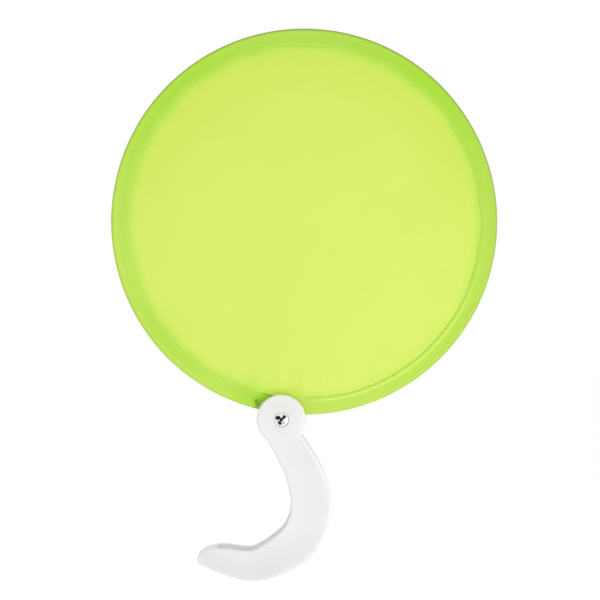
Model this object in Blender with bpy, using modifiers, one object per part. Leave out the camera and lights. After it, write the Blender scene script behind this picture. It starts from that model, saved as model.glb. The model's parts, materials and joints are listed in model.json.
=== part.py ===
"""A collapsible disc fan: a cloth disc on a spring hoop, hinged to a hooked handle that clasps it folded.

Metres, +Z up, the front facing -Y. The origin is the middle of the handle's arm, where a hand holds it.
The disc turns about the screw in the handle's boss: to swing it, turn the empty disc_pivot about its own Y.
"""
import math

import bmesh
import bpy
from mathutils import Vector

# Disc
DISC_DIAMETER = 0.240
CLOTH_THICKNESS = 0.0003
PIVOT_OUTSIDE_RIM = 0.003
DISC_LEAN_DEG = 6.6
DISC_STEPS = 120

# Hem: a tape folded over the hoop and sewn to the cloth, with a round notch for the hoop's eyes
HEM_WIDTH = 0.010
TAPE_THICKNESS = 0.0003
NOTCH_DIAMETER = 0.022
OUTER_FOLD_STEPS = 6
INNER_FOLD_STEPS = 4

# Hoop: one length of spring wire, bent into an eye at each end
WIRE_DIAMETER = 0.001
LEAD_LENGTH = 0.0095
LEAD_STEPS = 8
EYE_TURN_DEG = 300.0
EYE_STEPS = 20

# Handle
HANDLE_SPREAD = 0.084
HANDLE_DROP = 0.100
HANDLE_THICKNESS = 0.012
ARM_WIDTH = 0.0254
BOSS_DIAMETER = 0.0305
NECK_FILLET = 0.003
PLATE_THICKNESS = 0.002
SPINE_WALL = 0.002
TIP_SOLID = 0.013
EDGE_ROUNDING = 0.0016
ROUNDING_STEPS = 2
SPAN_STEPS = 6
TIP_STEPS = 10
FILLET_STEPS = 5
BOSS_STEPS = 40

# Where the arm's centreline starts inside the boss, and how wide the arm is there, as shares of BOSS_DIAMETER
ROOT_ACROSS_SHARE = -0.19
ROOT_WIDTH_SHARE = 0.58

# The centreline from there to the hook: the place across, the place up and the arm's width there, as shares
# of HANDLE_SPREAD, HANDLE_DROP and ARM_WIDTH. The grip is the row that lies furthest across.
ARM_SHARES = (
    (0.076, -0.189, 0.80),
    (0.167, -0.335, 0.90),
    (0.22, -0.51, 1.0),
    (0.186, -0.665, 0.977),
    (0.072, -0.792, 0.943),
    (-0.183, -0.898, 0.764),
    (-0.434, -0.868, 0.607),
)

# The rounded tip, as shares of ARM_WIDTH: how far across and up from the last row above, and how wide
TIP_SHARES = (
    (-0.303, 0.044, 0.42),
    (-0.46, 0.026, 0.287),
)

# Pegs that join the two shells, as shares of the way along the arm. The last one is in the solid tip.
PEG_SHARES = (0.49, 0.66)
TIP_PEG_SHARE = 0.89
PEG_DIAMETER = 0.0032
PEG_REACH = 0.0025
SOCKET_WALL = 0.001
PEG_STEPS = 20

# Pivot: a screw from the front in a barrel nut from the back
BARREL_DIAMETER = 0.0044
SHANK_DIAMETER = 0.0024
SHANK_END_GAP = 0.0008
HEAD_DIAMETER = 0.0086
HEAD_SINK = 0.0002
HEAD_CROWN = 0.0005
COUNTERBORE_DEPTH = 0.0022
COLLAR_WALL = 0.0009
WASHER_THICKNESS = 0.0005
CROSS_LENGTH = 0.007
CROSS_WIDTH = 0.0016
CROSS_DEPTH = 0.0014
CROSS_TAPER_SHARE = 0.6
CROSS_TURN_DEG = 50.0
SLOT_WIDTH = 0.001
SLOT_DEPTH = 0.0007
SLOT_TURN_DEG = 20.0
PIVOT_STEPS = 36
CROWN_STEPS = 3

# Clearances, and what counts as one point and as one flat face
FIT_GAP = 0.0003
CUT_OVERRUN = 0.001
MERGE_DISTANCE = 0.000005
FLAT_ANGLE_DEG = 0.1

DISC_RADIUS = DISC_DIAMETER / 2
WIRE_RADIUS = WIRE_DIAMETER / 2
HOOP_RADIUS = DISC_RADIUS - TAPE_THICKNESS - FIT_GAP - WIRE_RADIUS
CENTRE_HEIGHT = DISC_RADIUS + PIVOT_OUTSIDE_RIM
EYE_RADIUS = BARREL_DIAMETER / 2 + FIT_GAP + WIRE_RADIUS
EYE_OFFSET = (WIRE_DIAMETER + FIT_GAP) / 2
WASHER_NEAR = EYE_OFFSET + WIRE_RADIUS + FIT_GAP
WASHER_FAR = WASHER_NEAR + WASHER_THICKNESS
COLLAR_FACE = WASHER_FAR + FIT_GAP
PIVOT_HOLE_RADIUS = BARREL_DIAMETER / 2 + FIT_GAP
FACE = HANDLE_THICKNESS / 2
INNER_FACE = FACE - PLATE_THICKNESS
PARTING_FACE = FIT_GAP / 2
SEAT = FACE - COUNTERBORE_DEPTH
HEAD_UNDERSIDE = SEAT + FIT_GAP
HEAD_TOP = FACE - HEAD_SINK
COUNTERBORE_RADIUS = HEAD_DIAMETER / 2 + FIT_GAP
COLLAR_RADIUS = COUNTERBORE_RADIUS + COLLAR_WALL
SOCKET_RADIUS = PEG_DIAMETER / 2 + FIT_GAP
PEG_BOSS_RADIUS = SOCKET_RADIUS + SOCKET_WALL

FRONT = -1
BACK = 1


def smoothstep(share):
    """A share from 0 to 1 that leaves 0 and reaches 1 without a kink."""
    return share * share * (3 - 2 * share)


def smooth_through(points, steps):
    """Points along a smooth curve through the given ones, with this many steps between each two."""
    padded = [2 * points[0] - points[1], *points, 2 * points[-1] - points[-2]]
    line = []
    for before, start, end, after in zip(padded, padded[1:], padded[2:], padded[3:]):
        for step in range(steps):
            t = step / steps
            pull = end - before
            bend = 2 * before - 5 * start + 4 * end - after
            twist = 3 * start - before - 3 * end + after
            line.append((2 * start + pull * t + bend * t**2 + twist * t**3) / 2)
    line.append(points[-1])
    return line


def arm_line():
    """Circles from the boss to the tip: the centre, the radius, the way along, the way out and the taper.

    The arm's edges wrap round these circles. The taper is how much the radius shrinks over a unit of length.
    """
    stations = [Vector((ROOT_ACROSS_SHARE * BOSS_DIAMETER, 0, ROOT_WIDTH_SHARE * BOSS_DIAMETER))]
    for across, up, width in ARM_SHARES:
        stations.append(Vector((across * HANDLE_SPREAD, up * HANDLE_DROP, width * ARM_WIDTH)))
    hook = Vector((stations[-1].x, stations[-1].y, 0))
    stations += [hook + Vector(row) * ARM_WIDTH for row in TIP_SHARES]
    line = smooth_through(stations, SPAN_STEPS)
    circles = []
    for before, here, after in zip([line[0], *line], line, [*line[1:], line[-1]]):
        reach = (after - before).xy.length
        along = (after - before).xy / reach
        taper = (before.z - after.z) / 2 / reach
        circles.append((here.xy, here.z / 2, along, Vector((-along.y, along.x)), taper))
    return circles


def arm_edge(circle, side, inset=0):
    """Where the arm's edge touches a circle, moved inwards. Its side is 1 on the outer curve, -1 inside."""
    centre, radius, along, out, taper = circle
    return centre + (along * taper + out * side * math.sqrt(1 - taper**2)) * (radius - inset)


def place_on_arm(share, depth=None):
    """A point this share of the way along the arm, on its centreline or this deep inside its outer curve."""
    circles = arm_line()
    circle = circles[round(share * (len(circles) - 1))]
    if depth is None:
        return circle[0]
    return arm_edge(circle, 1, depth)


def way_out(edge, radius):
    """Where an edge leaves a circle about the pivot: the last point inside and the share of the next step."""
    inside = max(index for index, point in enumerate(edge) if point.length < radius)
    start, end = edge[inside], edge[inside + 1]
    return inside, (radius - start.length) / (end.length - start.length)


def edge_from(edge, place):
    """The stretch of an edge that starts at a place given like that."""
    inside, share = place
    return [edge[inside].lerp(edge[inside + 1], share), *edge[inside + 1:]]


def neck_arc(middle, radius, end):
    """Points round a fillet's middle, from where it touches the boss to just before the arm's edge."""
    start = math.atan2(-middle.y, -middle.x)
    sweep = math.atan2(end.y - middle.y, end.x - middle.x) - start
    sweep = (sweep + math.pi) % math.tau - math.pi
    points = []
    for step in range(FILLET_STEPS):
        turn = start + sweep * step / FILLET_STEPS
        points.append(middle + Vector((math.cos(turn), math.sin(turn))) * radius)
    return points


def handle_outline(boss_radius, outer_inset, inner_inset, tip_inset, fillet=0):
    """The handle's outline about the pivot, its outer and inner curves moved inwards by their insets.

    Without a tip inset the tip is round. With one, the outline stops square, that far short of the tip.
    A fillet rounds the corner where the outer curve leaves the boss.
    """
    circles = arm_line()
    tip, tip_radius, tip_along, tip_out, tip_taper = circles[-1]
    kept = [circle for circle in circles if (circle[0] - tip).length + tip_radius >= tip_inset]
    inner = [arm_edge(circle, -1, inner_inset) for circle in kept]
    inner = edge_from(inner, way_out(inner, boss_radius))
    fillet_line = [arm_edge(circle, 1, outer_inset - fillet) for circle in kept]
    neck = way_out(fillet_line, boss_radius + fillet)
    middle = edge_from(fillet_line, neck)[0]
    outer = edge_from([arm_edge(circle, 1, outer_inset) for circle in kept], neck)
    cap = []
    if not tip_inset:
        widest = math.acos(tip_taper)
        for step in range(1, TIP_STEPS):
            turn = widest * (1 - 2 * step / TIP_STEPS)
            cap.append(tip + (tip_out * math.sin(turn) + tip_along * math.cos(turn)) * tip_radius)
    start = math.atan2(inner[0].y, inner[0].x) % math.tau
    end = math.atan2(middle.y, middle.x)
    boss = []
    for step in range(1, BOSS_STEPS):
        turn = start + (end - start) * step / BOSS_STEPS
        boss.append(Vector((math.cos(turn), math.sin(turn))) * boss_radius)
    if fillet:
        boss += neck_arc(middle, fillet, outer[0])
    return outer + cap + inner[::-1] + boss


def add_piece(name, data, group, parent=None):
    """A new object in its collection, placed in its parent's frame."""
    piece = bpy.data.objects.new(name, data)
    group.objects.link(piece)
    piece.parent = parent
    return piece


def make_cutter(piece):
    """Marks an object that only shapes other pieces."""
    piece.hide_render = True
    piece.display_type = "WIRE"
    return piece


def combine(piece, tool, operation="DIFFERENCE", solver="EXACT"):
    """Cuts a tool from a piece, joins it on with UNION, or keeps what both share with INTERSECT."""
    modifier = piece.modifiers.new(tool.name, "BOOLEAN")
    modifier.solver = solver
    modifier.operation = operation
    modifier.object = tool


def shape_shell(shell, tool, operation="DIFFERENCE"):
    """One of a shell's many cuts and joins. In so long a chain the exact solver can leave slivers."""
    combine(shell, tool, operation, "MANIFOLD")


def turned(name, profile, steps, group, parent, side=BACK, closed=False):
    """A profile of (radius, height) points turned about Y, its heights growing towards the back or the front.

    The profile runs down its outer side. A closed one makes a ring.
    """
    if side == FRONT:
        profile = [(radius, -height) for radius, height in reversed(profile)]
    mesh = bpy.data.meshes.new(name)
    edges = [(index, index + 1) for index in range(len(profile) - 1)]
    if closed:
        edges.append((len(profile) - 1, 0))
    mesh.from_pydata([(radius, 0, height) for radius, height in profile], edges, [])
    piece = add_piece(name, mesh, group, parent)
    piece.rotation_euler.x = -math.pi / 2
    screw = piece.modifiers.new("Turn", "SCREW")
    screw.steps = steps
    screw.render_steps = steps
    screw.use_merge_vertices = True
    screw.merge_threshold = MERGE_DISTANCE
    return piece


def flat_solid(name, outline, thickness, rounding, group, parent):
    """An outline of (x, z) points made into a plate across Y = 0, with its edges rounded front and back."""
    curve = bpy.data.curves.new(name, "CURVE")
    curve.dimensions = "2D"
    curve.fill_mode = "BOTH"
    curve.extrude = thickness / 2 - rounding
    curve.bevel_depth = rounding
    curve.bevel_resolution = ROUNDING_STEPS
    curve.offset = -rounding
    spline = curve.splines.new("POLY")
    spline.points.add(len(outline) - 1)
    for point, place in zip(spline.points, outline):
        point.co = (place.x, place.y, 0, 1)
    spline.use_cyclic_u = True
    drawing = add_piece(name + "_drawing", curve, group)
    graph = bpy.context.evaluated_depsgraph_get()
    mesh = bpy.data.meshes.new_from_object(drawing.evaluated_get(graph))
    bpy.data.objects.remove(drawing)
    work = bmesh.new()
    work.from_mesh(mesh)
    bmesh.ops.remove_doubles(work, verts=work.verts, dist=MERGE_DISTANCE)
    bmesh.ops.recalc_face_normals(work, faces=work.faces)
    flat = math.radians(FLAT_ANGLE_DEG)
    bmesh.ops.dissolve_limit(work, angle_limit=flat, verts=work.verts, edges=work.edges)
    work.to_mesh(mesh)
    work.free()
    piece = add_piece(name, mesh, group, parent)
    piece.rotation_euler.x = math.pi / 2
    return piece


def post(name, place, radius, ends, side, group, parent):
    """A round post along Y. Its ends are distances from the middle plane, towards the front or the back."""
    near, far = ends
    work = bmesh.new()
    bmesh.ops.create_cone(
        work, cap_ends=True, segments=PEG_STEPS, radius1=radius, radius2=radius, depth=far - near
    )
    mesh = bpy.data.meshes.new(name)
    work.to_mesh(mesh)
    work.free()
    piece = add_piece(name, mesh, group, parent)
    piece.rotation_euler.x = math.pi / 2
    piece.location = (place.x, side * (near + far) / 2, place.y)
    return make_cutter(piece)


def box(name, low, high, group, parent):
    """A box between its lowest and its highest corner."""
    work = bmesh.new()
    bmesh.ops.create_cube(work, size=1)
    for vertex in work.verts:
        vertex.co = [high[axis] if vertex.co[axis] > 0 else low[axis] for axis in range(3)]
    mesh = bpy.data.meshes.new(name)
    work.to_mesh(mesh)
    work.free()
    return make_cutter(add_piece(name, mesh, group, parent))


def blade(name, size, turn_deg, side, inner_share, group, parent):
    """A cutter for a slot across a head, like a blade whose inner end is this share of its outer end."""
    length, width, depth = size
    work = bmesh.new()
    bmesh.ops.create_cube(work, size=1)
    for vertex in work.verts:
        outer = vertex.co.y > 0
        share = 1 if outer else inner_share
        height = HEAD_TOP + CUT_OVERRUN if outer else HEAD_TOP - depth
        vertex.co = (vertex.co.x * length * share, side * height, vertex.co.z * width * share)
    bmesh.ops.recalc_face_normals(work, faces=work.faces)
    mesh = bpy.data.meshes.new(name)
    work.to_mesh(mesh)
    work.free()
    piece = add_piece(name, mesh, group, parent)
    piece.rotation_euler.y = math.radians(turn_deg)
    return make_cutter(piece)


def head_profile(radius):
    """The crowned head that the screw and the nut share, from its top down to its underside."""
    profile = []
    for step in range(CROWN_STEPS + 1):
        share = step / CROWN_STEPS
        profile.append((radius * share, HEAD_TOP - HEAD_CROWN * share**2))
    profile.append((radius, HEAD_UNDERSIDE))
    return profile


def make_shell(name, side, blank, cavity, group, tools, handle):
    """Half the handle: a plate with a wall along its outer curve, a solid tip and a collar at the pivot."""
    label = "front" if side == FRONT else "back"
    shell = add_piece(name, blank.data.copy(), group, handle)
    shell.rotation_euler = blank.rotation_euler
    reach = (HANDLE_SPREAD, HANDLE_THICKNESS, HANDLE_DROP * 2)
    low = [-length for length in reach]
    high = list(reach)
    if side == FRONT:
        high[1] = -PARTING_FACE
    else:
        low[1] = PARTING_FACE
    shape_shell(shell, box(label + "_half", low, high, tools, handle), "INTERSECT")
    shape_shell(shell, cavity)

    collar = [
        (0, INNER_FACE + CUT_OVERRUN),
        (COLLAR_RADIUS, INNER_FACE + CUT_OVERRUN),
        (COLLAR_RADIUS, COLLAR_FACE),
        (0, COLLAR_FACE),
    ]
    ring = make_cutter(turned(label + "_collar", collar, PIVOT_STEPS, tools, handle, side))
    shape_shell(shell, ring, "UNION")
    hole = [
        (0, FACE + CUT_OVERRUN),
        (COUNTERBORE_RADIUS, FACE + CUT_OVERRUN),
        (COUNTERBORE_RADIUS, SEAT),
        (PIVOT_HOLE_RADIUS, SEAT),
        (PIVOT_HOLE_RADIUS, 0),
        (0, 0),
    ]
    shape_shell(shell, make_cutter(turned(label + "_pivot_hole", hole, PIVOT_STEPS, tools, handle, side)))

    places = [place_on_arm(share, SPINE_WALL / 2 + PEG_BOSS_RADIUS) for share in PEG_SHARES]
    for number, place in enumerate(places):
        ends = (PARTING_FACE, INNER_FACE + CUT_OVERRUN)
        boss = post(f"{label}_peg_boss_{number}", place, PEG_BOSS_RADIUS, ends, side, tools, handle)
        shape_shell(shell, boss, "UNION")
    places.append(place_on_arm(TIP_PEG_SHARE))
    for number, place in enumerate(places):
        if side == FRONT:
            ends = (-PEG_REACH, PARTING_FACE + CUT_OVERRUN)
            peg = post(f"peg_{number}", place, PEG_DIAMETER / 2, ends, side, tools, handle)
            shape_shell(shell, peg, "UNION")
        else:
            ends = (-CUT_OVERRUN, PEG_REACH + FIT_GAP)
            socket = post(f"peg_socket_{number}", place, SOCKET_RADIUS, ends, side, tools, handle)
            shape_shell(shell, socket)
    return shell


def make_handle_shells(group, tools, handle):
    """The two shells, cut from one rounded blank of the whole handle, hollow between their plates.

    The hollow is open along the inner curve and all round the boss, where the cloth disc enters it.
    """
    outline = handle_outline(BOSS_DIAMETER / 2, 0, 0, 0, NECK_FILLET)
    blank = make_cutter(flat_solid("handle_blank", outline, HANDLE_THICKNESS, EDGE_ROUNDING, tools, handle))
    hollow = handle_outline(BOSS_DIAMETER / 2 + CUT_OVERRUN, SPINE_WALL, -CUT_OVERRUN, TIP_SOLID)
    cavity = make_cutter(flat_solid("handle_cavity", hollow, INNER_FACE * 2, 0, tools, handle))
    front = make_shell("handle_front_shell", FRONT, blank, cavity, group, tools, handle)
    back = make_shell("handle_back_shell", BACK, blank, cavity, group, tools, handle)
    return front, back


def make_pivot_screw(group, tools, handle):
    """The screw: a crowned head with a cross recess, and a plain shank that ends inside the nut."""
    shank = SHANK_DIAMETER / 2
    end = SHANK_END_GAP - HEAD_UNDERSIDE
    profile = [*head_profile(HEAD_DIAMETER / 2), (shank, HEAD_UNDERSIDE), (shank, end), (0, end)]
    screw = turned("pivot_screw", profile, PIVOT_STEPS, group, handle, FRONT)
    for number in range(2):
        turn = CROSS_TURN_DEG + 90 * number
        name = f"cross_{number}"
        size = (CROSS_LENGTH, CROSS_WIDTH, CROSS_DEPTH)
        combine(screw, blade(name, size, turn, FRONT, CROSS_TAPER_SHARE, tools, handle))
    return screw


def make_barrel_nut(group, tools, handle):
    """The nut: a crowned head with a slot, and the hollow barrel that the hoop's eyes turn on."""
    barrel = BARREL_DIAMETER / 2
    bore = SHANK_DIAMETER / 2 + FIT_GAP
    end = SHANK_END_GAP - HEAD_UNDERSIDE
    profile = [
        *head_profile(HEAD_DIAMETER / 2),
        (barrel, HEAD_UNDERSIDE),
        (barrel, end),
        (bore, end),
        (bore, HEAD_UNDERSIDE),
        (0, HEAD_UNDERSIDE),
    ]
    nut = turned("pivot_barrel_nut", profile, PIVOT_STEPS, group, handle, BACK)
    size = (HEAD_DIAMETER + CUT_OVERRUN * 2, SLOT_WIDTH, SLOT_DEPTH)
    combine(nut, blade("nut_slot", size, SLOT_TURN_DEG, BACK, 1, tools, handle))
    return nut


def make_washer(name, side, group, handle):
    """A thin washer between the hoop's eyes and a shell's collar."""
    profile = [
        (PIVOT_HOLE_RADIUS, WASHER_FAR),
        (COLLAR_RADIUS, WASHER_FAR),
        (COLLAR_RADIUS, WASHER_NEAR),
        (PIVOT_HOLE_RADIUS, WASHER_NEAR),
    ]
    return turned(name, profile, PIVOT_STEPS, group, handle, side, closed=True)


def hoop_eye(side):
    """The eye at one end of the wire: points round the barrel, from the wire's tip to the top of the eye."""
    points = []
    for step in range(EYE_STEPS):
        turn = math.pi / 2 + math.radians(EYE_TURN_DEG) * (1 - step / EYE_STEPS)
        across = side * EYE_RADIUS * math.cos(turn)
        points.append(Vector((across, side * EYE_OFFSET, EYE_RADIUS * math.sin(turn))))
    return points


def hoop_lead(side):
    """The bend from the top of an eye out to the hoop's circle and into the middle plane."""
    points = []
    for step in range(LEAD_STEPS):
        share = step / LEAD_STEPS
        across = LEAD_LENGTH * share
        rise = CENTRE_HEIGHT - math.sqrt(HOOP_RADIUS**2 - across**2) - EYE_RADIUS
        settle = smoothstep(share)
        points.append(Vector((side * across, side * EYE_OFFSET * (1 - settle), EYE_RADIUS + rise * settle)))
    return points


def make_hoop(group, disc):
    """The spring wire: one unbroken tube round the disc, with its two eyes side by side on the barrel."""
    points = hoop_eye(1) + hoop_lead(1)
    start = math.asin(LEAD_LENGTH / HOOP_RADIUS)
    sweep = math.tau - 2 * start
    for step in range(DISC_STEPS + 1):
        turn = start + sweep * step / DISC_STEPS
        height = CENTRE_HEIGHT - HOOP_RADIUS * math.cos(turn)
        points.append(Vector((HOOP_RADIUS * math.sin(turn), 0, height)))
    points += hoop_lead(-1)[::-1] + hoop_eye(-1)[::-1]
    curve = bpy.data.curves.new("hoop_wire", "CURVE")
    curve.dimensions = "3D"
    curve.bevel_depth = WIRE_RADIUS
    curve.bevel_resolution = 2
    curve.use_fill_caps = True
    spline = curve.splines.new("POLY")
    spline.points.add(len(points) - 1)
    for point, place in zip(spline.points, points):
        point.co = (*place, 1)
    return add_piece("hoop_wire", curve, group, disc)


def make_fabric_panel(group, disc):
    """The cloth, stretched flat inside the hoop with its edge between the legs of the hem."""
    radius = HOOP_RADIUS - WIRE_RADIUS - FIT_GAP
    work = bmesh.new()
    bmesh.ops.create_cone(
        work, cap_ends=True, segments=DISC_STEPS, radius1=radius, radius2=radius, depth=CLOTH_THICKNESS
    )
    mesh = bpy.data.meshes.new("fabric_panel")
    work.to_mesh(mesh)
    work.free()
    panel = add_piece("fabric_panel", mesh, group, disc)
    panel.rotation_euler.x = math.pi / 2
    panel.location.z = CENTRE_HEIGHT
    return panel


def fold_arc(radius, leg, steps):
    """Points round the hoop on one face of the folded tape, from its back leg to its front leg."""
    start = math.pi - math.asin(leg / radius)
    points = []
    for step in range(steps + 1):
        turn = start * (1 - 2 * step / steps)
        points.append((HOOP_RADIUS + radius * math.cos(turn), radius * math.sin(turn)))
    return points


def make_hem(group, tools, disc):
    """The tape: folded round the hoop, a leg on each face of the cloth, and notched round the eyes."""
    inner_leg = CLOTH_THICKNESS / 2 + FIT_GAP
    outer_leg = inner_leg + TAPE_THICKNESS
    tunnel = WIRE_RADIUS + FIT_GAP
    inner_edge = DISC_RADIUS - HEM_WIDTH
    outside = fold_arc(tunnel + TAPE_THICKNESS, outer_leg, OUTER_FOLD_STEPS)
    inside = fold_arc(tunnel, inner_leg, INNER_FOLD_STEPS)
    profile = [
        (inner_edge, outer_leg),
        *outside,
        (inner_edge, -outer_leg),
        (inner_edge, -inner_leg),
        *reversed(inside),
        (inner_edge, inner_leg),
    ]
    hem = turned("hem_binding", profile, DISC_STEPS, group, disc, closed=True)
    hem.location.z = CENTRE_HEIGHT
    reach = tunnel + TAPE_THICKNESS + CUT_OVERRUN
    notch = [(0, reach), (NOTCH_DIAMETER / 2, reach), (NOTCH_DIAMETER / 2, -reach), (0, -reach)]
    combine(hem, make_cutter(turned("hem_notch", notch, PIVOT_STEPS, tools, disc)))
    return hem


def give_material(piece, colour, roughness, metallic):
    """A plain material of the piece's own."""
    material = bpy.data.materials.new(piece.name)
    material.use_nodes = True
    shader = material.node_tree.nodes["Principled BSDF"]
    shader.inputs["Base Color"].default_value = (*colour, 1)
    shader.inputs["Roughness"].default_value = roughness
    shader.inputs["Metallic"].default_value = metallic
    piece.data.materials.clear()
    piece.data.materials.append(material)


def smooth_shading(piece):
    """Shades a mesh smooth between its real edges."""
    if piece.type == "MESH":
        piece.data.shade_smooth()
        piece.data.set_sharp_from_angle(angle=math.radians(30))


def main():
    for leftover in list(bpy.data.objects):
        bpy.data.objects.remove(leftover)
    group = bpy.data.collections.new("collapsible_disc_fan")
    tools = bpy.data.collections.new("cutters")
    bpy.context.scene.collection.children.link(group)
    bpy.context.scene.collection.children.link(tools)

    across, up, _ = max(ARM_SHARES)
    handle = add_piece("handle_frame", None, group)
    handle.location = (-across * HANDLE_SPREAD, 0, -up * HANDLE_DROP)
    disc = add_piece("disc_pivot", None, group)
    disc.location = handle.location
    disc.rotation_euler.y = math.radians(DISC_LEAN_DEG)

    white = (0.83, 0.82, 0.825)
    steel = (0.62, 0.62, 0.63)
    nylon = (0.75, 0.75, 0.73)
    lime = (0.71, 0.88, 0.17)
    deep_lime = (0.52, 0.80, 0.11)
    front_shell, back_shell = make_handle_shells(group, tools, handle)
    finishes = (
        (front_shell, white, 0.4, 0),
        (back_shell, white, 0.4, 0),
        (make_pivot_screw(group, tools, handle), steel, 0.2, 1),
        (make_barrel_nut(group, tools, handle), steel, 0.2, 1),
        (make_washer("front_washer", FRONT, group, handle), nylon, 0.5, 0),
        (make_washer("back_washer", BACK, group, handle), nylon, 0.5, 0),
        (make_hoop(group, disc), steel, 0.3, 1),
        (make_fabric_panel(group, disc), lime, 0.7, 0),
        (make_hem(group, tools, disc), deep_lime, 0.7, 0),
    )
    for piece, colour, roughness, metallic in finishes:
        give_material(piece, colour, roughness, metallic)
        smooth_shading(piece)


main()
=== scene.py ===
"""The looks of the collapsible disc fan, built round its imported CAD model.

Metres, +Z up, the front facing -Y. On the disc a point is given by its radius and its turn about the disc's
centre. The turn is in radians, starts at the pivot and grows to the right, as seen from the front.
"""
import json
import math
import random

import bmesh
import bpy
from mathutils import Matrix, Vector


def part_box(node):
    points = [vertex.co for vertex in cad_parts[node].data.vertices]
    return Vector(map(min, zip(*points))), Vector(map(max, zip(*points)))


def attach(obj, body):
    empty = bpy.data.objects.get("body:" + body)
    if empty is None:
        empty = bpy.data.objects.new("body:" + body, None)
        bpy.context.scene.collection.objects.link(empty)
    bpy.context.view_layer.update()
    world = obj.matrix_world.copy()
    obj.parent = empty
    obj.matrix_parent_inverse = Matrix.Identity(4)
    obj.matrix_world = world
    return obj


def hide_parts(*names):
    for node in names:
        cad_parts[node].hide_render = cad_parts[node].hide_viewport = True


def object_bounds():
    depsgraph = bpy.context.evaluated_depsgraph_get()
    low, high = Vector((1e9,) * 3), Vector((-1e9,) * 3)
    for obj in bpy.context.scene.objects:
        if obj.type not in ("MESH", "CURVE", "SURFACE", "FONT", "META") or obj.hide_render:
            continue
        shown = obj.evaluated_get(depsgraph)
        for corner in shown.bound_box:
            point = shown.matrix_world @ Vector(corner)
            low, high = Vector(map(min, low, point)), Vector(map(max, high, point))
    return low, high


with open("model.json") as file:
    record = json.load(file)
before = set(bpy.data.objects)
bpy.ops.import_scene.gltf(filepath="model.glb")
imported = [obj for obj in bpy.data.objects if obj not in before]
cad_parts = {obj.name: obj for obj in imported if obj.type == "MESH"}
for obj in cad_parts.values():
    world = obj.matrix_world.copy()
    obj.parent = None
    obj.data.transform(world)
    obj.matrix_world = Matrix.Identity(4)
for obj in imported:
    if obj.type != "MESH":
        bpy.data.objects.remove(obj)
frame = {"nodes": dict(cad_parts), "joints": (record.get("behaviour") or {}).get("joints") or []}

CAD_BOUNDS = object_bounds()

# What the CAD model gives
HEM_LOW, HEM_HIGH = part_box("hem_binding")
WIRE_LOW, WIRE_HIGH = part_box("hoop_wire")
SCREW_FRONT = -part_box("pivot_screw")[0].y
PIVOT = Vector(frame["joints"][0]["pos_m"])
DISC_RADIUS = (HEM_HIGH.x - HEM_LOW.x) / 2
DISC_CENTRE = Vector(((HEM_LOW.x + HEM_HIGH.x) / 2, 0, HEM_HIGH.z - DISC_RADIUS))
PIVOT_RADIUS = (DISC_CENTRE - PIVOT).length
DISC_UP = (DISC_CENTRE - PIVOT).normalized()
DISC_ACROSS = Vector((DISC_UP.z, 0, -DISC_UP.x))
LEAN = math.atan2(DISC_UP.x, DISC_UP.z)

# The photograph's frame: its disc's centre and radius in pixels, and the camera's distance
PICTURE_PIXELS = 600
DISC_CENTRE_PIXEL = (304.2, 221.7)
DISC_RADIUS_PIXELS = 193.0
CAMERA_DISTANCE = 0.45
SENSOR = 36.0

# The hoop's wire, the cloth's edge inside the hem, and half the cloth's thickness
WIRE_RADIUS = 0.0005
HOOP_RADIUS = (WIRE_HIGH.x - WIRE_LOW.x) / 2 - WIRE_RADIUS
CLOTH_EDGE = 0.1168
CLOTH_FACE = 0.00015

# The hem: its tape's thickness, and the radius of its inner edge, of its seam, of the ridge beside the seam,
# and of the round notch at the pivot
TAPE = 0.0003
HEM_EDGE = 0.1097
SEAM_RADIUS = 0.1104
RIDGE_RADIUS = 0.1118
NOTCH_RADIUS = 0.0113

# How far round the rim the boss reaches on each side, and how far the hem is creased
NECK_TURN_DEG = 7.2
CREASED = math.radians(16)

# Painted shade marks on the screw's head, where its recess is in shade: each one's angle in degrees,
# its distance from the pivot, and its radius
SCREW_SHADE_MARKS = ((155, 0.0026, 0.0019), (44, 0.0026, 0.0015), (252, 0.0023, 0.0016))

# The world's strength as a light, the floor's glow as the camera sees it, and how far below the fan it lies
WORLD_LIGHT = 0.80
FLOOR_GLOW = 0.30
STAGE_DROP = 0.45


def smooth(share):
    """Eases a share from 0 to 1, and holds it outside."""
    share = min(1.0, max(0.0, share))
    return share * share * (3 - 2 * share)


def rise(value, start, end):
    """0 before the start, 1 after the end, and smooth between."""
    return smooth((value - start) / (end - start))


def hump(value, middle, width):
    """1 at the middle, falling smoothly to 0 a width away."""
    return smooth(1 - abs(value - middle) / width)


def disc_point(radius, turn, depth):
    """A point on the disc, from the disc's centre in the world's directions. Depth grows to the back."""
    across = DISC_ACROSS * (radius * math.sin(turn))
    up = DISC_UP * (radius * math.cos(turn))
    return across - up + Vector((0, depth, 0))


def signed(turn):
    """The same turn, from half a turn left to half a turn right."""
    return (turn + math.pi) % math.tau - math.pi


class Waves:
    """A smooth wavy line round the disc, from -1 to 1, that closes on itself.

    It adds up sines that repeat a whole number of times round the disc, from the lowest number to just below
    the limit.
    """

    def __init__(self, seed, lowest, limit):
        draw = random.Random(seed)
        self.parts = []
        for count in range(lowest, limit):
            self.parts.append((count, draw.uniform(0.4, 1), draw.uniform(0, math.tau)))
        self.size = math.sqrt(sum(size**2 for _, size, _ in self.parts))

    def at(self, turn):
        total = sum(size * math.sin(count * turn + phase) for count, size, phase in self.parts)
        return max(-1.0, min(1.0, total / self.size))


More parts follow.
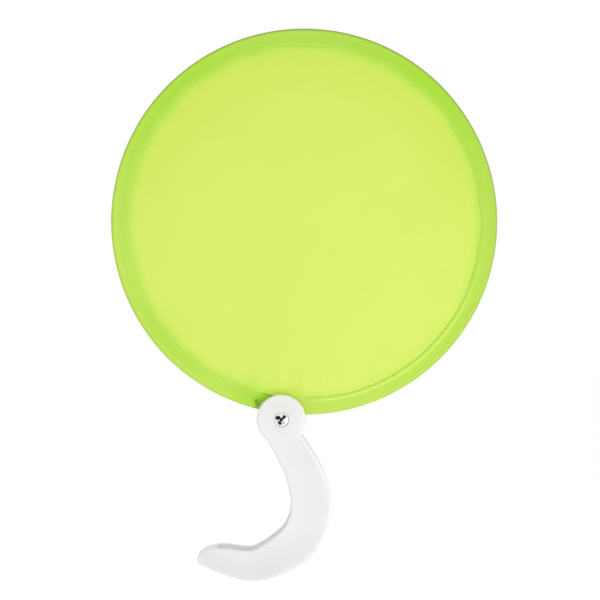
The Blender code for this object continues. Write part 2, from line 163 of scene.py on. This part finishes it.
class Nodes:
    """A short way to write a material's or the world's node tree."""

    def __init__(self, owner):
        owner.use_nodes = True
        self.tree = owner.node_tree
        self.tree.nodes.clear()

    def add(self, kind, **settings):
        node = self.tree.nodes.new("ShaderNode" + kind)
        for name, value in settings.items():
            setattr(node, name, value)
        return node

    def set(self, socket, value):
        """Links an output to the socket, or sets the socket to a plain value."""
        if isinstance(value, bpy.types.NodeSocket):
            self.tree.links.new(value, socket)
        elif value is not None:
            socket.default_value = value

    def math(self, operation, first, second=None, third=None):
        node = self.add("Math", operation=operation)
        for socket, value in zip(node.inputs, (first, second, third)):
            self.set(socket, value)
        return node.outputs[0]

    def scaled(self, place, factors):
        node = self.add("VectorMath", operation="MULTIPLY")
        self.set(node.inputs[0], place)
        self.set(node.inputs[1], factors)
        return node.outputs[0]

    def ramp(self, value, start, end, low=0.0, high=1.0):
        node = self.add("MapRange", interpolation_type="SMOOTHSTEP")
        settings = {"Value": value, "From Min": start, "From Max": end, "To Min": low, "To Max": high}
        for name, setting in settings.items():
            self.set(node.inputs[name], setting)
        return node.outputs[0]

    def mix(self, share, first, second):
        """Two colours mixed, by the node's colour sockets: inputs 6 and 7, and output 2."""
        node = self.add("Mix", data_type="RGBA")
        self.set(node.inputs[0], share)
        self.set(node.inputs[6], first)
        self.set(node.inputs[7], second)
        return node.outputs[2]

    def noise(self, place, scale, detail=2.0, roughness=0.5):
        node = self.add("TexNoise")
        self.set(node.inputs["Vector"], place)
        self.set(node.inputs["Scale"], scale)
        self.set(node.inputs["Detail"], detail)
        self.set(node.inputs["Roughness"], roughness)
        return node.outputs[0]

    def bump(self, height, distance, strength=1.0, normal=None):
        node = self.add("Bump")
        self.set(node.inputs["Height"], height)
        self.set(node.inputs["Distance"], distance)
        self.set(node.inputs["Strength"], strength)
        self.set(node.inputs["Normal"], normal)
        return node.outputs[0]

    def place(self):
        """The point on the surface, in the piece's own frame."""
        return self.add("TexCoord").outputs["Object"]

    def axes(self, place):
        node = self.add("SeparateXYZ")
        self.set(node.inputs[0], place)
        return node.outputs

    def from_pivot(self, axes, right=0.0, above=0.0):
        """How far a point lies from the screw's axis, or from a line this far right of it and above it."""
        across = self.math("SUBTRACT", axes[0], PIVOT.x + right)
        up = self.math("SUBTRACT", axes[2], PIVOT.z + above)
        return self.math("SQRT", self.math("ADD", self.math("MULTIPLY", across, across),
                                           self.math("MULTIPLY", up, up)))

    def attribute(self, name):
        return self.add("Attribute", attribute_name=name).outputs["Fac"]

    def seen(self):
        """1 for what the camera sees, straight, in a mirror or through glass, and 0 for lighting."""
        path = self.add("LightPath").outputs
        bent = self.math("MAXIMUM", path["Is Glossy Ray"], path["Is Transmission Ray"])
        return self.math("MAXIMUM", path["Is Camera Ray"], bent)

    def finish(self, shader):
        output = self.add("OutputMaterial")
        self.set(output.inputs["Surface"], shader)

    def principled(self, colour, roughness, **sockets):
        """A Principled shader. Its other sockets are named with _ for each space."""
        shader = self.add("BsdfPrincipled")
        self.set(shader.inputs["Base Color"], colour)
        self.set(shader.inputs["Roughness"], roughness)
        for name, value in sockets.items():
            self.set(shader.inputs[name.replace("_", " ")], value)
        return shader.outputs[0]


def rgb(red, green, blue):
    return (red, green, blue, 1.0)


def new_material(name):
    material = bpy.data.materials.new(name)
    return material, Nodes(material)


def white_plastic():
    """Moulded plastic: a fine even grain, faint flow marks, and a satin face that light sinks into.

    Outside it is a little darker towards the hook. Between the plates and in the well round the screw's head
    its colour is painted lighter, as painted light against the shade there.
    """
    material, nodes = new_material("white_plastic")
    place = nodes.place()
    axes = nodes.axes(place)
    flow = nodes.noise(place, 45.0, 3.0)
    grain = nodes.noise(place, 2600.0, 2.0)
    # The outside is a little darker towards the hook
    hook = nodes.ramp(axes[2], -0.045, -0.012, 1.0, 0.0)
    darker_to_hook = nodes.mix(hook, rgb(0.822, 0.808, 0.815), rgb(0.755, 0.744, 0.750))
    outside = nodes.mix(nodes.ramp(flow, 0.3, 0.7, 0.0, 0.25), darker_to_hook, rgb(0.862, 0.850, 0.855))
    # Painted light: lighter between the plates and in the well round the screw's head, against their shade
    inside = nodes.ramp(nodes.math("ABSOLUTE", axes[1]), 0.0036, 0.0046, 1.0, 0.0)
    well = nodes.ramp(nodes.from_pivot(axes), 0.0047, 0.0056, 1.0, 0.0)
    colour = nodes.mix(nodes.math("MAXIMUM", inside, well), outside, rgb(0.985, 0.978, 0.980))
    roughness = nodes.ramp(nodes.noise(place, 300.0, 3.0), 0.3, 0.7, 0.40, 0.50)
    rounded = nodes.add("Bevel", samples=6)
    nodes.set(rounded.inputs["Radius"], 0.0012)
    normal = nodes.bump(grain, 0.00003, 0.35, nodes.bump(flow, 0.0003, 0.12, rounded.outputs[0]))
    shader = nodes.principled(colour, roughness, Normal=normal, Subsurface_Weight=1.0,
                              Subsurface_Radius=(1.0, 0.95, 0.92), Subsurface_Scale=0.004)
    nodes.finish(shader)
    return material


def chrome_steel():
    """Bright plated steel, with faint turning rings round the pivot.

    A dark painted shade lies where the metal is deeper than the heads' faces. On the front it is left out at
    the right and at the lower left, as a painted highlight. The heads' rims and sides have no painted shade,
    and are painted a pale gloss rather than a mirror, as painted light. The screw's painted shade marks lie
    over all of this.
    """
    material, nodes = new_material("chrome_steel")
    place = nodes.place()
    axes = nodes.axes(place)
    across = nodes.math("SUBTRACT", axes[0], PIVOT.x)
    up = nodes.math("SUBTRACT", axes[2], PIVOT.z)
    radius = nodes.from_pivot(axes)
    ring_pitch = 0.00016
    rings = nodes.math("SINE", nodes.math("MULTIPLY", radius, math.tau / ring_pitch))
    depth = nodes.math("SUBTRACT", SCREW_FRONT, nodes.math("ABSOLUTE", axes[1]))
    # On the front the recess is left bright at the right and at the lower left, as a painted highlight
    right = nodes.ramp(nodes.math("SUBTRACT", across, up), 0.0012, 0.0022)
    lower_left = nodes.ramp(nodes.math("ADD", across, up), -0.0024, -0.0017, 1.0, 0.0)
    front = nodes.ramp(axes[1], 0, -0.001)
    rim = nodes.ramp(radius, 0.0036, 0.0041)
    painted_highlight = nodes.math("MULTIPLY", front, nodes.math("MAXIMUM", right, lower_left))
    unshaded = nodes.math("MAXIMUM", rim, painted_highlight)
    # Painted shade where the metal lies deeper than the heads' faces
    painted_shade = nodes.math("MULTIPLY", nodes.ramp(depth, 0.0002, 0.0006), nodes.math("SUBTRACT", 1.0, unshaded))
    # Painted shade marks round the recess's arm ends
    for degrees, distance, size in SCREW_SHADE_MARKS:
        angle = math.radians(degrees)
        gap = nodes.from_pivot(axes, distance * math.cos(angle), distance * math.sin(angle))
        shade_mark = nodes.ramp(gap, size * 0.4, size, 1.0, 0.0)
        painted_shade = nodes.math("MAXIMUM", painted_shade, nodes.math("MULTIPLY", shade_mark, front))
    # Painted light: the heads' rims and sides are pale and bright, and not metal
    plate = nodes.mix(rim, rgb(0.86, 0.85, 0.85), rgb(0.97, 0.97, 0.97))
    middle = nodes.ramp(radius, 0.0004, 0.0018)
    # The painted shade is darkest in the middle
    painted_shade_colour = nodes.mix(middle, rgb(0.045, 0.040, 0.038), rgb(0.010, 0.009, 0.009))
    colour = nodes.mix(painted_shade, plate, painted_shade_colour)
    roughness = nodes.ramp(painted_shade, 0.0, 1.0, 0.16, 0.6)
    scuffs = nodes.noise(place, 1800.0, 3.0)
    normal = nodes.bump(scuffs, 0.00002, 0.3, nodes.bump(rings, 0.000004, 0.4))
    metal = nodes.ramp(rim, 0.0, 1.0, 1.0, 0.0)
    nodes.finish(nodes.principled(colour, roughness, Metallic=metal, Normal=normal))
    return material


def nylon():
    """The washers: slightly waxy natural nylon."""
    material, nodes = new_material("nylon_washer")
    place = nodes.place()
    cloud = nodes.noise(place, 400.0, 3.0)
    colour = nodes.mix(cloud, rgb(0.72, 0.72, 0.69), rgb(0.78, 0.78, 0.76))
    normal = nodes.bump(nodes.noise(place, 2200.0, 2.0), 0.00002, 0.4)
    shader = nodes.principled(colour, 0.48, Normal=normal, Subsurface_Weight=0.15,
                              Subsurface_Radius=(1.0, 1.0, 0.9), Subsurface_Scale=0.001)
    nodes.finish(shader)
    return material


def spring_steel():
    """Drawn spring wire: bright, with fine mottling."""
    material, nodes = new_material("spring_steel")
    place = nodes.place()
    mottle = nodes.noise(place, 900.0, 4.0, 0.6)
    colour = nodes.mix(mottle, rgb(0.42, 0.42, 0.42), rgb(0.58, 0.58, 0.57))
    roughness = nodes.ramp(mottle, 0.3, 0.7, 0.24, 0.4)
    normal = nodes.bump(mottle, 0.00001, 0.4)
    nodes.finish(nodes.principled(colour, roughness, Metallic=1.0, Normal=normal))
    return material


def cloth(name, colour, thread_colour, tones, through):
    """Thin woven polyester that lets light through, with a colour mixed in for each of its point tones."""
    material, nodes = new_material(name)
    place = nodes.place()
    axes = nodes.axes(place)
    pitch = 0.00036
    warp = nodes.math("SINE", nodes.math("MULTIPLY", axes[0], math.pi / pitch))
    weft = nodes.math("SINE", nodes.math("MULTIPLY", axes[2], math.pi / pitch))
    over = nodes.math("MULTIPLY", warp, weft)
    ridge = nodes.math("MAXIMUM", nodes.math("ABSOLUTE", warp), nodes.math("ABSOLUTE", weft))
    height = nodes.math("MULTIPLY_ADD", over, 0.5, nodes.math("MULTIPLY", ridge, 0.5))
    slubs = nodes.noise(nodes.scaled(place, (60.0, 60.0, 900.0)), 1.0)
    cloud = nodes.noise(place, 22.0, 3.0)
    base = nodes.mix(nodes.ramp(over, -0.6, 0.6, 0.0, 0.35), colour, thread_colour)
    base = nodes.mix(nodes.ramp(cloud, 0.35, 0.75, 0.0, 0.10), base, tones["shade"])
    base = nodes.mix(nodes.ramp(slubs, 0.55, 0.85, 0.0, 0.10), base, thread_colour)
    # The point tones carry painted light and painted shade, mixed in over the cloth's own colour
    for tone, tone_colour in tones.items():
        base = nodes.mix(nodes.attribute(tone), base, tone_colour)
    normal = nodes.bump(height, 0.00005, 0.5, nodes.bump(slubs, 0.00006, 0.3))
    shader = nodes.principled(base, 0.62, Normal=normal, Sheen_Weight=0.08, Sheen_Roughness=0.5,
                              Specular_IOR_Level=0.25)
    behind = nodes.add("BsdfTranslucent")
    nodes.set(behind.inputs["Color"], base)
    nodes.set(behind.inputs["Normal"], normal)
    blend = nodes.add("MixShader")
    nodes.set(blend.inputs[0], through)
    nodes.set(blend.inputs[1], shader)
    nodes.set(blend.inputs[2], behind.outputs[0])
    nodes.finish(blend.outputs[0])
    return material


def thread():
    """Sewing thread: a twisted yarn a little darker than the hem."""
    material, nodes = new_material("hem_thread")
    axes = nodes.axes(nodes.place())
    twist_pitch = 0.0005
    along = nodes.math("ADD", axes[0], axes[2])
    twist = nodes.math("SINE", nodes.math("MULTIPLY", along, math.tau / twist_pitch))
    colour = nodes.mix(nodes.ramp(twist, -1.0, 1.0), rgb(0.52, 0.78, 0.11), rgb(0.64, 0.90, 0.15))
    nodes.finish(nodes.principled(colour, 0.6, Normal=nodes.bump(twist, 0.00004, 0.6)))
    return material


class Surface:
    """A mesh on the disc, with the tones of each of its points."""

    def __init__(self):
        self.work = bmesh.new()
        self.tones = {"yellow": [], "deep": [], "warm": [], "light": [], "shade": []}

    def point(self, radius, turn, depth, **tones):
        for name, values in self.tones.items():
            values.append(min(1.0, max(0.0, tones.get(name, 0.0))))
        return self.work.verts.new(disc_point(radius, turn, depth))

    def strip(self, row, following_row):
        """Faces between two closed rows of points."""
        count = len(row)
        for index in range(count):
            after = (index + 1) % count
            self.work.faces.new((row[index], row[after], following_row[after], following_row[index]))

    def piece(self, name, material):
        bmesh.ops.recalc_face_normals(self.work, faces=self.work.faces)
        mesh = bpy.data.meshes.new(name)
        self.work.to_mesh(mesh)
        self.work.free()
        mesh.shade_smooth()
        for tone, values in self.tones.items():
            layer = mesh.attributes.new(tone, "FLOAT", "POINT")
            layer.data.foreach_set("value", values)
        mesh.materials.append(material)
        piece = bpy.data.objects.new(name, mesh)
        bpy.context.scene.collection.objects.link(piece)
        piece.location = DISC_CENTRE
        return piece


# Unevenness round the disc: of the hem's inner edge, its ridge and its band, and of the cloth's pulls
EDGE_WAVES = Waves(seed=3, lowest=9, limit=34)
RIDGE_WAVES = Waves(seed=7, lowest=40, limit=110)
BAND_WAVES = Waves(seed=11, lowest=14, limit=50)
PULL_WAVES = Waves(seed=19, lowest=60, limit=120)


def facing(turn, degrees):
    """1 where the rim looks the way that this turn does, 0 on the far side."""
    return 0.5 + 0.5 * math.cos(turn - math.radians(degrees))


def on_the_bias(turn):
    """1 where the rim runs aslant across the threads, and 0 where it runs along or square to them."""
    return math.sin(2 * (turn - LEAN)) ** 2


def tight(turn):
    """How tightly the hem is sewn: its ridge stands up fully from the boss to the disc's right-hand side."""
    degrees = math.degrees(turn)
    return rise(degrees, NECK_TURN_DEG - 1, NECK_TURN_DEG + 8) * (1 - rise(degrees, 56, 96))


def loose(turn):
    return 1 - tight(turn)


def left_of_boss(turn):
    """1 at the boss's left edge, fading to 0 along the rim."""
    fade_deg = 13
    if turn > 0:
        return 0.0
    return 1 - rise(-math.degrees(turn) - NECK_TURN_DEG, 0, fade_deg)


class Fold:
    """A crease in the hem, on a straight line between two places, each a turn in degrees and a radius."""

    def __init__(self, start, end, widths, height, **tones):
        self.start = self.flat(*start)
        self.end = self.flat(*end)
        self.start_width, self.end_width = widths
        self.height = height
        self.tones = tones

    @staticmethod
    def flat(degrees, radius):
        turn = math.radians(degrees)
        return Vector((radius * math.sin(turn), -radius * math.cos(turn)))

    def share(self, radius, turn):
        """1 on the line, and 0 outside its width."""
        if abs(turn) > CREASED:
            return 0.0
        spot = self.flat(math.degrees(turn), radius)
        line = self.end - self.start
        along = min(1.0, max(0.0, (spot - self.start).dot(line) / line.length_squared))
        width = self.start_width + (self.end_width - self.start_width) * along
        return hump((spot - self.start - line * along).length, 0, width)


# Creases at the boss's left: four that sink in and take painted shade, and a small pucker that stands up
FOLDS = (
    Fold((-8.4, 0.1092), (-3.8, 0.1104), widths=(0.0012, 0.0026), height=-0.00022, shade=0.62),
    Fold((-8.4, 0.1154), (-7.5, 0.1174), widths=(0.0028, 0.0030), height=-0.00012, shade=0.82),
    Fold((-6.9, 0.1150), (-6.2, 0.1180), widths=(0.0026, 0.0036), height=-0.00010, shade=0.30),
    Fold((-9.6, 0.1142), (-6.2, 0.1128), widths=(0.0044, 0.0052), height=-0.00008, deep=1.0),
    Fold((-8.5, 0.1112), (-7.2, 0.1146), widths=(0.0006, 0.0010), height=0.00030),
)


def seam_draw(turn):
    """How far the seam is drawn in towards the cloth as it comes to the boss's right edge."""
    most = 0.0007
    reach_deg = 16
    return most * hump(math.degrees(turn), NECK_TURN_DEG, reach_deg)


def before_draw(radius, turn):
    """The radius that a point of the hem would have if its seam weren't drawn in."""
    return radius + seam_draw(turn) * (1 - rise(radius, 0.1130, 0.1160))


def seam_wave(turn):
    """How far the hem's inner edge strays, most where the sewing is loosest."""
    most = 0.0005
    return most * EDGE_WAVES.at(turn) * (0.15 + 0.85 * loose(turn))


def panel_depth(radius, turn):
    """The cloth's faint pulls: fine ones all along the seam, and a few wider ones that run to the boss."""
    pull_height = 0.00022
    gather_height = 0.0004
    gathers = 46
    boss_reach = 0.035
    free = 1 - rise(radius, 0.1075, 0.1100)
    edge = rise(radius, 0.080, 0.110)
    boss = math.exp(-((radius * math.sin(turn) / boss_reach) ** 2)) * max(0.0, math.cos(turn))
    pulls = pull_height * edge * free * PULL_WAVES.at(turn) * (0.25 + boss)
    return pulls + gather_height * edge * free * boss * math.sin(turn * gathers)


def panel_tones(radius, turn):
    """The cloth yellows upwards and towards the rim, and greens into the seam, most where that is loose.

    Above the boss it is warmer at the right, and lighter at the left, as painted light against the boss's
    shade; it is greener left of that.
    """
    degrees = math.degrees(turn)
    upper = rise(-radius * math.cos(turn - LEAN), 0, 0.07)
    topmost = rise(facing(turn, 180), 0.35, 0.8)
    warm = 0.05 + 0.16 * upper + rise(radius, 0.070, 0.104) * (0.10 + 0.40 * topmost)
    warm += 0.6 * hump(degrees, 3.5, 6) * hump(radius, 0.1060, 0.0060)
    over_boss = 1 - rise(abs(degrees + 0.5), 4, 9)
    into_seam = rise(radius - seam_wave(turn), 0.1035, 0.1110)
    shade = (0.68 - 0.50 * tight(turn)) * into_seam * (1 - 0.85 * over_boss)
    shade += 0.26 * hump(degrees, -10, 8) * rise(radius, 0.0985, 0.1050)
    # Painted light above the boss's left, against the shade that the boss casts there
    light = 0.80 * hump(degrees, -5, 9) * rise(radius, 0.1040, 0.1070)
    return {"shade": shade, "warm": warm, "light": light}


def make_panel(material):
    """The cloth: a drum-tight disc whose edge goes into the hem."""
    rings = 64
    spokes = 360
    crowding = 1.6
    surface = Surface()
    middle = surface.point(0, 0, 0)
    rows = []
    for ring in range(1, rings + 1):
        radius = CLOTH_EDGE * (1 - (1 - ring / rings) ** crowding)
        row = []
        for spoke in range(spokes):
            turn = math.tau * spoke / spokes - math.pi
            row.append(surface.point(radius, turn, panel_depth(radius, turn), **panel_tones(radius, turn)))
        rows.append(row)
    for spoke in range(spokes):
        surface.work.faces.new((middle, rows[0][spoke], rows[0][(spoke + 1) % spokes]))
    for inner, outer in zip(rows, rows[1:]):
        surface.strip(inner, outer)
    return surface.piece("cloth_panel", material)


def leg_height(radius, turn, side):
    """How far one leg of the hem stands off the middle plane at a radius, before it rolls over the wire."""
    resting = CLOTH_FACE * 0.6
    ridge_height = 0.00036
    band_sag = 0.00024
    band_middle = 0.1152
    band_reach = 0.0036
    radius = before_draw(radius, turn)
    edge = HEM_EDGE + seam_wave(turn)
    height = resting + (TAPE + CLOTH_FACE * 0.4) * rise(radius, edge - 0.0003, edge + 0.0014)
    ridge = rise(radius, SEAM_RADIUS + 0.0002, RIDGE_RADIUS - 0.0003)
    height += ridge_height * ridge * (0.4 + 0.6 * tight(turn)) * (1 + 0.3 * RIDGE_WAVES.at(turn + side))
    height -= band_sag * hump(radius, band_middle, band_reach) * (1 + 0.5 * BAND_WAVES.at(turn))
    for fold in FOLDS:
        height += fold.height * fold.share(radius, turn)
    return max(height, resting)


def hem_tones(radius, turn):
    """The hem's tones: olive over the wire, dark in the groove and the folds, and light on the ridge.

    The olive over the wire and the dark in the groove and the folds are painted shade, and the light on the
    ridge is a painted highlight; the inner edge, the outer band away from the top and the left side are
    painted lighter. It is yellower at the lower right, and deeper green at the boss's left and towards the
    top, where it runs on the bias; towards the top the darker, deeper green is painted shade.
    """
    degrees = math.degrees(turn)
    top = facing(turn, 180)
    left = left_of_boss(turn)
    sewn = before_draw(radius, turn)
    dark = tight(turn) * (1 - rise(degrees, 18, 32))
    # Painted shade in the seam's groove
    groove = 0.08 * dark * hump(sewn, SEAM_RADIUS + 0.0004, 0.0006)
    # A painted highlight on the ridge
    ridge = tight(turn) * hump(sewn, RIDGE_RADIUS - 0.0001, 0.0015)
    past_edge = sewn - HEM_EDGE - seam_wave(turn)
    # Painted light just past the hem's inner edge, against its shade
    edge = max(0.25 * hump(past_edge, 0, 0.0011), 0.32 * loose(turn) * (1 - rise(past_edge, 0, 0.0024)))
    # Painted light on the outer band, away from the top
    outer = 0.22 * rise(sewn, 0.1150, 0.1175) * (1 - top)
    # Painted light and shade: shade and deep are painted shade towards the top, warm is a painted shade along
    # the roll over the wire, darkest at the top, and light is painted light; deep is also deeper green at the
    # boss's left
    tones = {
        "shade": 0.06 * top + 0.04 * facing(turn, 100) + 0.12 * left + groove,
        "light": max(ridge, edge, outer, 0.24 * hump(degrees, -80, 50)),
        "warm": rise(sewn, 0.1180, 0.1192) * (0.20 + 0.75 * top),
        "deep": 0.04 + 0.24 * top + on_the_bias(turn) * (0.16 + 0.56 * top) + 0.76 * left,
        "yellow": max(facing(turn, 45) ** 2, 0.5 * rise(sewn, 0.1145, 0.1180)),
    }
    for fold in FOLDS:
        share = fold.share(radius, turn)
        for name, tone in fold.tones.items():
            tones[name] = max(tones[name], tone * share)
    return tones


def notch_limit(turn):
    """How far out the hem may reach at a turn: up to the notch about the pivot."""
    offset = PIVOT_RADIUS * math.sin(turn)
    if abs(offset) >= NOTCH_RADIUS or math.cos(turn) < 0:
        return DISC_RADIUS
    return PIVOT_RADIUS * math.cos(turn) - math.sqrt(NOTCH_RADIUS**2 - offset**2)


def hem_outside(turn):
    """The outside of one section of the hem as (radius, depth) points: front leg, roll and back leg."""
    leg_steps = 22
    roll_steps = 10
    inner = HEM_EDGE + seam_wave(turn) - seam_draw(turn)
    outer = HOOP_RADIUS - 0.0004
    lift_start = HOOP_RADIUS - 0.0030
    roll = DISC_RADIUS - HOOP_RADIUS
    legs = {}
    for side in (-1, 1):
        legs[side] = []
        for step in range(leg_steps + 1):
            radius = inner + (outer - inner) * step / leg_steps
            height = leg_height(radius, turn, side)
            height += (roll * 0.98 - height) * rise(radius, lift_start, outer)
            legs[side].append((radius, side * height))
    arc = []
    for step in range(1, roll_steps):
        bend = math.pi * step / roll_steps
        arc.append((HOOP_RADIUS + roll * math.sin(bend), -roll * math.cos(bend)))
    return legs[-1] + arc + legs[1][::-1]


def hem_section(turn):
    """One section of the hem as (radius, depth) points: round its outside, then back round its inside."""
    least_depth = 0.00003
    roll = DISC_RADIUS - HOOP_RADIUS
    inner_roll_share = (roll - TAPE) / roll
    outside = hem_outside(turn)
    inside = []
    for radius, depth in outside:
        if radius <= HOOP_RADIUS:
            inside.append((radius, math.copysign(max(least_depth, abs(depth) - TAPE), depth)))
        else:
            past_hoop = (radius - HOOP_RADIUS) * inner_roll_share
            inside.append((HOOP_RADIUS + past_hoop, depth * inner_roll_share))
    return outside + inside[::-1]


def hem_turns():
    """Where the hem's sections lie: close together beside the boss, where it creases, and wider elsewhere."""
    fine = math.radians(0.16)
    coarse = math.radians(0.5)
    turn = -CREASED
    while turn < math.tau - CREASED - coarse / 2:
        yield signed(turn)
        turn += fine if turn < CREASED else coarse


def make_hem(material):
    """The tape: folded over the hoop and sewn down, gathered beside the boss, and notched inside it."""
    surface = Surface()
    rows = []
    for turn in hem_turns():
        limit = notch_limit(turn)
        row = []
        for radius, depth in hem_section(turn):
            radius = min(radius, limit)
            row.append(surface.point(radius, turn, depth, **hem_tones(radius, turn)))
        rows.append(row)
    for before, after in zip(rows, rows[1:] + rows[:1]):
        surface.strip(before, after)
    return surface.piece("rim_hem", material)


def add_stitch(surface, side, middle, slant):
    """One short thread on one face, dipping into the cloth at both ends."""
    length = 0.0024
    thick = 0.00014
    sides = 6
    steps = 6
    rings = []
    for step in range(steps + 1):
        share = step / steps
        turn = signed(middle + (share - 0.5) * length / SEAM_RADIUS)
        radius = SEAM_RADIUS + seam_wave(turn) * 0.6 - seam_draw(turn) + slant * (share - 0.5) * 2
        arch = math.sin(math.pi * share)
        lift = leg_height(radius, turn, side) + thick * (1.1 * arch - 0.7)
        size = thick * (0.45 + 0.55 * arch)
        ring = []
        for corner in range(sides):
            angle = math.tau * corner / sides
            depth = side * (lift + size * math.sin(angle))
            ring.append(surface.point(radius + size * math.cos(angle), turn, depth))
        rings.append(ring)
    for before, after in zip(rings, rings[1:]):
        surface.strip(before, after)
    surface.work.faces.new(rings[0])
    surface.work.faces.new(rings[-1])


def make_stitches(material):
    """The lockstitch seam, on both faces, from one side of the boss round to the other."""
    pitch = 0.0029
    most_slant = 0.00008
    start = math.radians(NECK_TURN_DEG)
    sweep = math.tau - 2 * start
    count = int(sweep * SEAM_RADIUS / pitch)
    draw = random.Random(5)
    surface = Surface()
    for side in (-1, 1):
        for number in range(count):
            middle = start + sweep * (number + 0.5) / count
            add_stitch(surface, side, middle, slant=draw.uniform(-most_slant, most_slant))
    return surface.piece("hem_stitches", material)


def dress_cad(material, *names):
    """Gives CAD pieces their finish."""
    for name in names:
        piece = frame["nodes"][name]
        piece.data.materials.clear()
        piece.data.materials.append(material)


def add_area_light(name, place, size, power):
    """A round lamp that looks at the disc's centre."""
    light = bpy.data.lights.new(name, "AREA")
    light.shape = "DISK"
    light.size = size
    light.energy = power
    lamp = bpy.data.objects.new(name, light)
    bpy.context.scene.collection.objects.link(lamp)
    lamp.location = place
    lamp.rotation_euler = (DISC_CENTRE - Vector(place)).to_track_quat("-Z", "Y").to_euler()
    lamp.visible_camera = False


def make_world():
    """Even soft light from all round, and plain white behind the object, in metal too."""
    world = bpy.data.worlds.new("studio")
    bpy.context.scene.world = world
    nodes = Nodes(world)
    background = nodes.add("Background")
    strength = nodes.math("MULTIPLY_ADD", nodes.seen(), 1 - WORLD_LIGHT, WORLD_LIGHT)
    nodes.set(background.inputs["Color"], rgb(1, 1, 1))
    nodes.set(background.inputs["Strength"], strength)
    output = nodes.add("OutputWorld")
    nodes.set(output.inputs["Surface"], background.outputs[0])


def make_floor():
    """A plain pale floor that reads as white, and still takes the object's shadow."""
    reach = 6.0
    height = CAD_BOUNDS[0].z - STAGE_DROP
    mesh = bpy.data.meshes.new("studio_floor")
    corners = [(x * reach, y * reach, height) for x, y in ((-1, -1), (1, -1), (1, 1), (-1, 1))]
    mesh.from_pydata(corners, [], [(0, 1, 2, 3)])
    material, nodes = new_material("studio_floor")
    paint = nodes.add("BsdfDiffuse")
    nodes.set(paint.inputs["Color"], rgb(0.88, 0.88, 0.88))
    glow = nodes.add("Emission")
    nodes.set(glow.inputs["Strength"], nodes.math("MULTIPLY", nodes.seen(), FLOOR_GLOW))
    both = nodes.add("AddShader")
    nodes.set(both.inputs[0], paint.outputs[0])
    nodes.set(both.inputs[1], glow.outputs[0])
    nodes.finish(both.outputs[0])
    mesh.materials.append(material)
    floor = bpy.data.objects.new("studio_floor", mesh)
    bpy.context.scene.collection.objects.link(floor)


def make_camera():
    """Straight on, at the photograph's distance and framing."""
    pixel = DISC_RADIUS / DISC_RADIUS_PIXELS
    across = (PICTURE_PIXELS / 2 - DISC_CENTRE_PIXEL[0]) * pixel
    down = (PICTURE_PIXELS / 2 - DISC_CENTRE_PIXEL[1]) * pixel
    data = bpy.data.cameras.new("camera")
    data.sensor_width = SENSOR
    data.lens = SENSOR * CAMERA_DISTANCE / (PICTURE_PIXELS * pixel)
    data.clip_start = 0.01
    data.clip_end = 50.0
    camera = bpy.data.objects.new("camera", data)
    bpy.context.scene.collection.objects.link(camera)
    camera.location = DISC_CENTRE + Vector((across, -CAMERA_DISTANCE, -down))
    camera.rotation_euler = (math.pi / 2, 0, 0)
    bpy.context.scene.camera = camera


make_camera()
make_world()
make_floor()
add_area_light("key", place=(0.42, -0.62, -0.24), size=0.40, power=2.3)
add_area_light("fill", place=(-0.40, -0.60, 0.55), size=0.60, power=0.5)
bpy.context.scene.view_settings.view_transform = "Standard"

dress_cad(white_plastic(), "handle_front_shell", "handle_back_shell")
dress_cad(chrome_steel(), "pivot_screw", "pivot_barrel_nut")
dress_cad(nylon(), "front_washer", "back_washer")
dress_cad(spring_steel(), "hoop_wire")

panel_cloth = cloth(
    "lime_cloth",
    colour=rgb(0.730, 0.890, 0.165),
    thread_colour=rgb(0.695, 0.87, 0.15),
    through=0.3,
    tones={
        # painted light against the boss's shade
        "light": rgb(0.69, 0.98, 0.105),
        "warm": rgb(0.63, 0.82, 0.10),
        # painted shade
        "shade": rgb(0.44, 0.79, 0.070),
    },
)
hem_cloth = cloth(
    "lime_hem",
    colour=rgb(0.62, 0.90, 0.125),
    thread_colour=rgb(0.58, 0.875, 0.11),
    through=0.16,
    tones={
        "yellow": rgb(0.625, 0.85, 0.120),
        # painted shade towards the top, and deeper green at the boss's left
        "deep": rgb(0.50, 0.87, 0.052),
        # painted shade along the roll over the wire
        "warm": rgb(0.34, 0.48, 0.09),
        # painted highlight and painted light
        "light": rgb(0.78, 1.0, 0.175),
        # painted shade
        "shade": rgb(0.15, 0.47, 0.006),
    },
)
panel = make_panel(panel_cloth)
hem = make_hem(hem_cloth)
stitches = make_stitches(thread())
for piece in (panel, hem, stitches):
    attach(piece, "fan_disc")
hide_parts("fabric_panel")
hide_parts("hem_binding")
